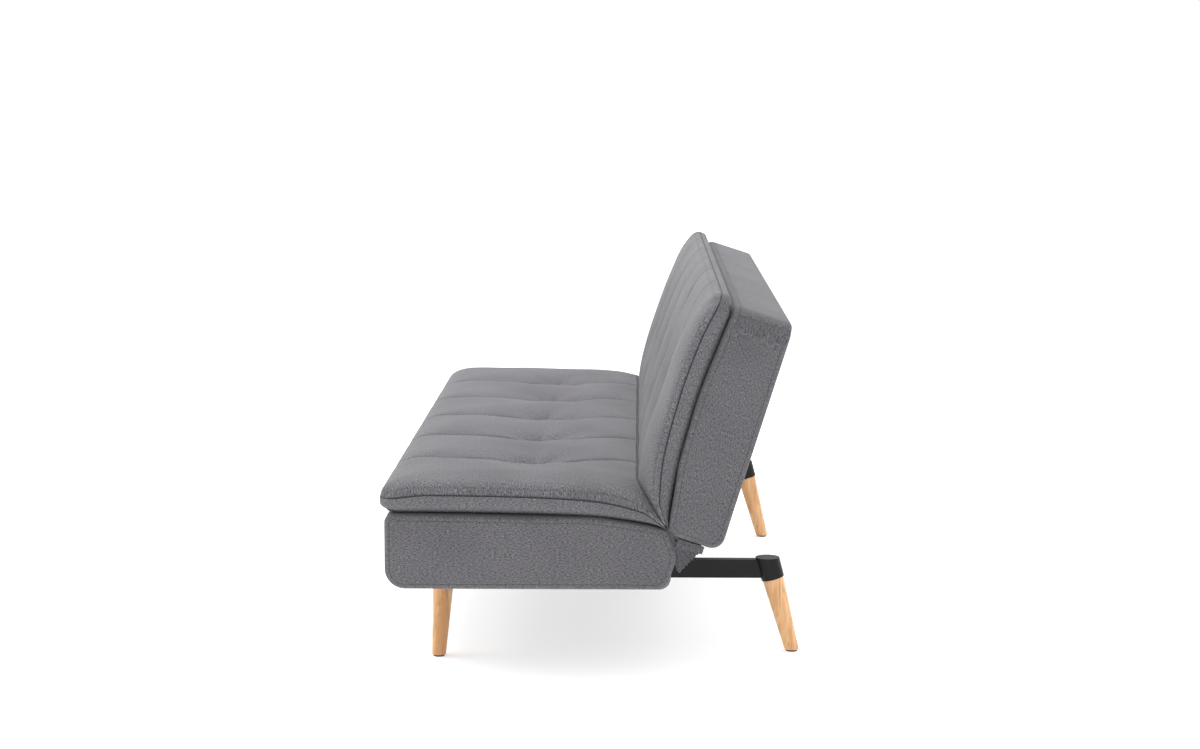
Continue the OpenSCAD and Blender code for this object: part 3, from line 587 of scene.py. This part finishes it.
# %% An outline from rounded corners
def outline(corners, pitch=0.011, sewn=()):
    """corners: (a, b, radius). Points run round the closed outline, with their outward normals. sewn adds close
    points where a seam crosses the outline."""
    spots = np.array([c[:2] for c in corners], float)
    found = []
    for n, (_, _, radius) in enumerate(corners):
        here, before, after = spots[n], spots[n - 1], spots[(n + 1) % len(spots)]
        to_b = (before - here) / np.linalg.norm(before - here)
        to_a = (after - here) / np.linalg.norm(after - here)
        half = math.acos(np.clip(to_b @ to_a, -1, 1)) / 2
        cut = radius / math.tan(half)
        centre = here + (to_a + to_b) / np.linalg.norm(to_a + to_b) * radius / math.sin(half)
        start, stop = here + to_b * cut - centre, here + to_a * cut - centre
        sweep = math.pi - 2 * half
        turn = np.sign(start[0] * stop[1] - start[1] * stop[0])
        count = max(3, math.ceil(radius * sweep / 0.005))
        for t in np.linspace(0, turn * sweep, count + 1):
            found.append(centre + [start[0] * math.cos(t) - start[1] * math.sin(t),
                                   start[0] * math.sin(t) + start[1] * math.cos(t)])
    ring = []
    for n, spot in enumerate(found):
        onward = found[(n + 1) % len(found)]
        steps = max(1, round(np.linalg.norm(onward - spot) / pitch))
        ring += [spot + (onward - spot) * s / steps for s in range(steps)]
        way = (onward - spot) / np.linalg.norm(onward - spot)
        for mark in sewn:
            reach = (np.array(mark) - spot) @ way
            if abs((np.array(mark) - spot) @ (way[1], -way[0])) < 0.004 and 0 < reach < np.linalg.norm(onward - spot):
                close = spot + way * reach
                ring = [p for p in ring if np.linalg.norm(p - close) > 0.004]
                where = next((m for m, p in enumerate(ring) if (p - spot) @ way > reach
                              and abs((p - spot) @ (way[1], -way[0])) < 1e-6), len(ring))
                ring[where:where] = [close - way * 0.0018, close, close + way * 0.0018]
    ring = np.array(ring)
    tangent = np.roll(ring, -1, 0) - np.roll(ring, 1, 0)
    tangent /= np.linalg.norm(tangent, axis=1)[:, None]
    normal = np.stack([tangent[:, 1], -tangent[:, 0]], 1)
    area = np.sum(ring[:, 0] * np.roll(ring[:, 1], -1) - np.roll(ring[:, 0], -1) * ring[:, 1])
    return ring, normal * np.sign(area)


print("a square outline has", len(outline([(0, 0, .01), (.1, 0, .01), (.1, .1, .01), (0, .1, .01)])[0]), "points")


# %% Sweep an outline into a box with end panels
def box_cover(name, corners, spine, put, finish, drop=None, wrap_seam=None, sewn=(), edge=0.010):
    ring, normal = outline(corners, sewn=sewn)
    lap = np.concatenate([[0], np.cumsum(np.linalg.norm(np.diff(ring, axis=0), axis=1))])
    (a0, b0), (a1, b1) = spine
    spine_at = np.clip(((ring - (a0, b0)) @ (a1 - a0, b1 - b0)) / ((a1 - a0) ** 2 + (b1 - b0) ** 2), 0, 1)
    core = np.array([a0, b0]) + spine_at[:, None] * np.array([a1 - a0, b1 - b0])
    end_rows = []
    for deep in (1.0, 0.93, 0.8, 0.62, 0.45, 0.3, 0.17, 0.07):
        end_rows.append((None, deep))
    for inset in (0.030, 0.024, 0.0175, 0.0145, 0.0128, 0.0112, 0.0096):
        end_rows.append((inset, 0))
    rows = []
    reach = core - ring
    facing = np.clip(-(normal * reach).sum(1) / np.maximum(np.linalg.norm(reach, axis=1), 1e-6), 0.3, 1)
    share = 1 / (facing * np.linalg.norm(reach, axis=1))
    for inset, deep in end_rows:
        part = (np.clip(share * (inset or 0.030), 0, 0.9) * (1 - deep) + deep)[:, None]
        flat = ring + reach * part
        groove = 0.0010 if inset == 0.0112 else 0.0002 if inset in (0.0096, 0.0128) else 0
        dome = 0.003 * (1 - math.exp(-(0.03 + deep * 0.07 if not inset else inset) / 0.03)) - 0.0012
        rows.append((half_length + dome - groove, flat, 1.0 if inset == 0.0112 else 0.0, True))
    for angle in (70, 50, 30, 12, 0):
        inset = edge * (1 - math.cos(math.radians(angle)))
        rows.append((half_length - edge + edge * math.sin(math.radians(angle)) - 0.0006,
                     ring - normal * inset, 0, False))
    body = lines(-(half_length - edge), half_length - edge, 0.034,
                 (0.0022, 0.004, 0.0058, 0.009, 0.014, 0.020, 0.028, 0.038), (), ())
    loops = [(x, shape, mark, cap) for x, shape, mark, cap in rows]
    loops += [(x, ring, 0, False) for x in body[::-1][1:-1]]
    loops += [(-x, shape, mark, cap) for x, shape, mark, cap in rows[::-1]]
    points, seam, measure, cloth_u, cloth_v = [], [], [], [], []
    for x, shape, mark, cap in loops:
        near = half_length - abs(x)
        shape = shape.copy()
        if drop is not None:
            shape = drop(shape, near)
        line = np.full(len(ring), float(mark))
        if wrap_seam is not None:
            line = wrap_seam(line, ring, near, cap)
        shape = shape - normal * (0.0014 * line * (0 if cap else 1))[:, None]
        points.append(put(np.full(len(ring), x), shape[:, 0], shape[:, 1]))
        seam.append(line)
        cloth_u.append(shape[:, 0] if cap else np.full(len(ring), x))
        cloth_v.append(shape[:, 1] if cap else lap)
        measure.append(cap)
    size = len(ring)
    points, seam = np.concatenate(points), np.concatenate(seam)
    quads, maps = [], []
    here = np.arange(size)
    after = (here + 1) % size
    for n in range(len(loops) - 1):
        quad = np.stack([here + n * size, after + n * size, after + (n + 1) * size, here + (n + 1) * size], -1)
        quads.append(quad)
        if measure[n] or measure[n + 1]:
            cu = [loops[n][1][:, 0], loops[n + 1][1][:, 0]]
            cv = [loops[n][1][:, 1] + 2, loops[n + 1][1][:, 1] + 2]
            turn = [cv[0][here], cv[0][after], cv[1][after], cv[1][here]]
            across = [cu[0][here], cu[0][after], cu[1][after], cu[1][here]]
        else:
            far = np.append(lap[1:], lap[-1] + 0.01)
            turn = [lap, far, far, lap]
            across = [np.full(size, loops[m][0]) for m in (n, n, n + 1, n + 1)]
        maps.append(np.stack([np.stack(across, -1), np.stack(turn, -1)], -1).reshape(-1, 2))
    quads, maps = np.concatenate(quads), np.concatenate(maps)
    first = points[quads[len(quads) // 2]]
    facing = np.cross(first[1] - first[0], first[2] - first[1]) @ (first[0] - points.mean(0))
    if facing < 0:
        quads = quads[:, ::-1]
        maps = maps.reshape(-1, 4, 2)[:, ::-1].reshape(-1, 2)
    zero = np.zeros(len(points))
    values = {"seam": seam, "stitch": zero, "run": np.tile(lap, len(loops)), "pucker": seam * 0.5}
    return make_skin(name, points, quads, maps, values, finish)


print("box maker ready")

# %% The seat box
seat_front, floor_side = -seat_low.y + hinge_y, seat_low.z - hinge_z
seat_corners = [(seat_front, deck + 0.003, 0.016), (seat_front + 0.0005, floor_side - 0.003, 0.042),
                (0.020, floor_side - 0.003, 0.030), (-0.0035, -0.036, 0.030), (0.0185, 0.0215, 0.008),
                (0.057, 0.0295, 0.08), (0.16, 0.0455, 0.3)]


def fill_heel(shape, near):
    """Fills the lower rear edge out over the frame's rear rail, a little way in from the end panel."""
    heel = np.array([0.0446, floor_side + 0.027])
    arm = np.minimum(shape - heel, 0)
    reach = np.maximum(np.linalg.norm(arm, axis=1), 1e-9)
    push = 0.0060 * float(ease((near - 0.006) / 0.016)) * 2 * arm[:, 0] * arm[:, 1] / reach ** 2
    return shape + arm / reach[:, None] * push[:, None]


seat_box = box_cover("seat_box", seat_corners, ((0.50, -0.022), (0.085, -0.030)), on_seat, cover_cloth,
                     drop=fill_heel)
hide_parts("seat_cover", "seat_foam")
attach(seat_box, "base")


# %% The backrest box
def round_top(shape, near):
    """Lowers the top towards each end, which rounds the two top corners seen from the front."""
    radius = 0.050
    gap = max(0.0, radius - near)
    fall = radius - math.sqrt(max(radius ** 2 - gap ** 2, 0))
    tall, knee = 0.489, 0.33
    shape[:, 0] = np.where(shape[:, 0] > knee, knee + (shape[:, 0] - knee) * (tall - fall - knee) / (tall - knee),
                           shape[:, 0])
    return shape


def front_panel_seams(line, ring, near, cap):
    """The front panel laps over the top edge, and the end panel's top seam sits on the rounded corner."""
    on_top = (ring[:, 0] > 0.47) & (ring[:, 1] < 0.0232) & (ring[:, 1] > -0.083)
    lapped = (ring[:, 0] > 0.47) & (np.abs(ring[:, 1] - 0.022) < 0.0009)
    line = np.where(on_top & cap, 0.0, line)
    line = np.where(lapped & (not cap or near < 0.0012 and line.max() < 0.5), 1.0, line)
    return np.maximum(line, np.where(on_top & (abs(near - 0.014) < 1e-4), 1.0, 0.0))


back_corners = [(0.489, 0.036, 0.014), (0.30, 0.0485, 0.9), (0.15, 0.0425, 0.15), (0.075, 0.0300, 0.08),
                (0.0185, 0.0225, 0.008), (0.0075, 0.0040, 0.006), (0.0055, -0.0935, 0.027), (0.489, -0.0885, 0.011)]
back_box = box_cover("back_box", back_corners, ((0.42, -0.024), (0.07, -0.030)), on_back, cover_cloth,
                     drop=round_top, wrap_seam=front_panel_seams, sewn=[(0.489, 0.022)])
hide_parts("back_cover", "back_foam", "back_wadding")
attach(back_box, "backrest")

# %% [markdown]
# ## Gussets and fold strips
# At each end a loose fan of cloth closes the gap between the two boxes, so that no finger reaches the hinge.
# It is sewn flat under both covers and falls into small ripples at its free edge. A ring of points round the
# hinge pin, waved harder towards the rim, gives the ripples without any simulation.

# %% The end gussets
def gusset(name, side, replaced):
    turns = np.radians(np.arange(0, 360, 2.5))
    rings = np.array([0.004, 0.014, 0.024, 0.033, 0.041, 0.048, 0.054, 0.0595, 0.064, 0.068, 0.0705])
    swing = np.degrees((turns + math.pi) % (2 * math.pi) - math.pi)
    fan = ease((swing + 96) / 12) * ease((-8 - swing) / 10)
    turn, ring = np.meshgrid(turns, rings / rings[-1], indexing="ij")
    chord = 0.0521 / np.cos(np.clip(np.radians(swing + 44.4), -0.8, 0.8))
    wide = (0.034 + (chord - 0.034) * fan + 0.0013 * fan * np.cos(turns * 44))[:, None]
    far = ring * wide
    wave = fan[:, None] * ring ** 2 * (0.0030 * np.sin(turn * 22 + 1.2 * ring) + 0.0016 * np.sin(turn * 44 + 2))
    fold = -0.0035 * np.exp(-((np.degrees(turn) - 331) / 5) ** 2) * ring
    x = side * (half_length - 0.0085 + wave + fold - 0.001 * (1 - fan[:, None]))
    points = np.stack([x, hinge_y + far * np.cos(turn), hinge_z + far * np.sin(turn)], -1).reshape(-1, 3)
    rows, cols = len(turns), len(rings)
    here = (np.arange(rows)[:, None] * cols + np.arange(cols - 1)).ravel()
    onward = ((np.arange(rows)[:, None] + 1) % rows * cols + np.arange(cols - 1)).ravel()
    quads = np.stack([here, here + 1, onward + 1, onward], -1)
    quads = quads if side > 0 else quads[:, ::-1]
    flat = np.stack([far * np.cos(turn) + 4, far * np.sin(turn)], -1).reshape(-1, 2)
    piece = make_skin(name, points, quads, flat[quads].reshape(-1, 2), {}, fold_cloth)
    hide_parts(replaced)
    return piece


def flap(name, side):
    """The flat hem of the gusset, sewn along the underside of the backrest."""
    across, down = np.meshgrid(np.linspace(0, 1, 15), np.linspace(0, 1, 7), indexing="ij")
    reach, drop = 0.004 + 0.0550 * across, -0.004 + (0.020 - 0.003 * across) * down
    turn = math.radians(-16)
    x = side * (half_length - 0.0045 + 0.0012 * np.sin(np.pi * down) - 0.003 * down ** 3
                + 0.0005 * wander(across, down, 9, .6))
    y = hinge_y + reach * math.cos(turn) + drop * math.sin(turn)
    z = hinge_z + reach * math.sin(turn) - drop * math.cos(turn)
    here = (np.arange(14)[:, None] * 7 + np.arange(6)).ravel()
    quads = np.stack([here, here + 1, here + 8, here + 7], -1)
    flat = np.stack([reach + 8, drop], -1).reshape(-1, 2)
    piece = make_skin(name, np.stack([x, y, z], -1).reshape(-1, 3), quads, flat[quads].reshape(-1, 2), {},
                      fold_cloth)
    return piece


flaps = [flap("end_flap_left", 1), flap("end_flap_right", -1)]
gusset_left = gusset("end_gusset_left", 1, "gusset_left")
gusset_right = gusset("end_gusset_right", -1, "gusset_right")


# %% The strips along the fold
def fold_strip(name, radius, start, stop, reach, wave, replaced, chorded):
    """A strip of cloth round the hinge line, from one box to the other, with a soft wave along it."""
    along = np.arange(-reach, reach + 0.001, 0.006)
    turns = np.radians(np.linspace(start, stop, 15))
    x, turn = np.meshgrid(along, turns, indexing="ij")
    middle = np.sin(np.pi * (np.degrees(turn) - start) / (stop - start))
    edge = radius / np.cos(turn + math.radians(44.4)) if chorded else radius
    far = edge + wave * middle * (wander(x, turn * 0.05, 4, 0.09) + 0.6 * wander(x, turn * 0.02, 6, 0.035)) / 2
    points = np.stack([x, hinge_y + far * np.cos(turn), hinge_z + far * np.sin(turn)], -1).reshape(-1, 3)
    cols = len(turns)
    here = (np.arange(len(along) - 1)[:, None] * cols + np.arange(cols - 1)).ravel()
    quads = np.stack([here, here + 1, here + cols + 1, here + cols], -1)
    flat = np.stack([x, turn * radius + 6], -1).reshape(-1, 2)
    piece = make_skin(name, points, quads, flat[quads].reshape(-1, 2), {}, fold_cloth)
    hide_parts(replaced)
    return piece


gap_strip = fold_strip("rear_fold_strip", 0.0490, -84, -17, 0.889, 0.0028, "rear_gap_strip", True)
crease_cloth = fold_strip("crease_fold_strip", 0.030, 152, 100, 0.890, 0.0006, "crease_strip", False)

# %% [markdown]
# ## The dust cloth
# A thin black cloth closes the underside. It is cut to the frame, its edge is stapled over the cover's
# turned-in edge every few centimetres, and the bars and leg sockets press it up where they are bolted on.
# Between them it is left a little slack.

# %% The dust cloth under the seat
def dust_sheet(name, replaced):
    low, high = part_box(replaced)
    bar_x = (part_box("leg_rear_left")[0].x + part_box("leg_rear_left")[1].x) / 2
    leg_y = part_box("leg_front_left")[1].y - 0.023
    cols = lines(low.x, high.x, 0.018, (0.005, 0.012), (-bar_x, bar_x),
                 (0.0105, 0.013, 0.0155, 0.019, 0.026, 0.036))
    rows = lines(low.y, high.y, 0.012, (0.005,))
    x, y = np.meshgrid(cols, rows, indexing="ij")
    from_edge = np.minimum(np.minimum(x - low.x, high.x - x), np.minimum(y - low.y, high.y - y))
    off_bar = np.abs(np.abs(x) - bar_x)
    slack = ease(from_edge / 0.10) * (1 - np.exp(-(off_bar / 0.07) ** 2))
    staples = 0.5 + 0.5 * np.cos((x + y) * 2 * np.pi / 0.045)
    hang = seat_low.z - 0.0042 - 0.0060 * slack - 0.0010 * staples * np.exp(-from_edge / 0.014)
    hang -= 0.0007 * slack * wander(x, y, 12, 0.12)
    clear = np.minimum(off_bar - 0.0105, np.hypot(off_bar + 0.003, y - leg_y) - 0.031)
    press = 1 - ease(clear / 0.006)
    hang = hang + (seat_low.z + 0.0006 - hang) * press
    points = np.stack([x, y, hang], -1).reshape(-1, 3)
    wide = len(rows)
    here = (np.arange(len(cols) - 1)[:, None] * wide + np.arange(wide - 1)).ravel()
    quads = np.stack([here, here + 1, here + wide + 1, here + wide], -1)
    flat = np.stack([x, y + 9], -1).reshape(-1, 2)
    piece = make_skin(name, points, quads, flat[quads].reshape(-1, 2), {}, finishes["dust_cloth"])
    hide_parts(replaced)
    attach(piece, "base")
    return piece


dust_cloth = dust_sheet("dust_cloth", "seat_dust_cover")

# %% [markdown]
# ## Cloth that crosses the fold
# The toppers are soft at the crease, where they meet. Here the placing of the toppers, gussets, flaps and
# fold strips is baked into their points; nothing turns them with the backrest.

# %% Bake the placing of the toppers and the fold pieces
for piece in (seat_topper, back_topper):
    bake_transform(piece)
for piece in (gusset_left, gusset_right, gap_strip, *flaps):
    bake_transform(piece)
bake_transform(crease_cloth)

# %% [markdown]
# ## Floor
# A plain pale sweep, flat under the sofa. It only catches the soft shadow of the legs.

# %% Floor
floor_mesh = bpy.data.meshes.new("studio_floor")
floor_mesh.from_pydata([(-14, -14, 0), (14, -14, 0), (14, 14, 0), (-14, 14, 0)], [], [(0, 1, 2, 3)])
floor = bpy.data.objects.new("studio_floor", floor_mesh)
bpy.context.scene.collection.objects.link(floor)
pale = Finish("studio_paper", 0.95, Emission_Color=rgb(1, 1, 1), Emission_Strength=0.5)
paper = pale.noise(pale.node("ShaderNodeTexCoord", {}, {}, 3), 60.0, 2.0)
pale.feed(Base_Color=pale.blend(paper, rgb(0.93, 0.93, 0.93), rgb(0.95, 0.95, 0.95)))
floor_mesh.materials.append(pale.material)
print("floor laid")
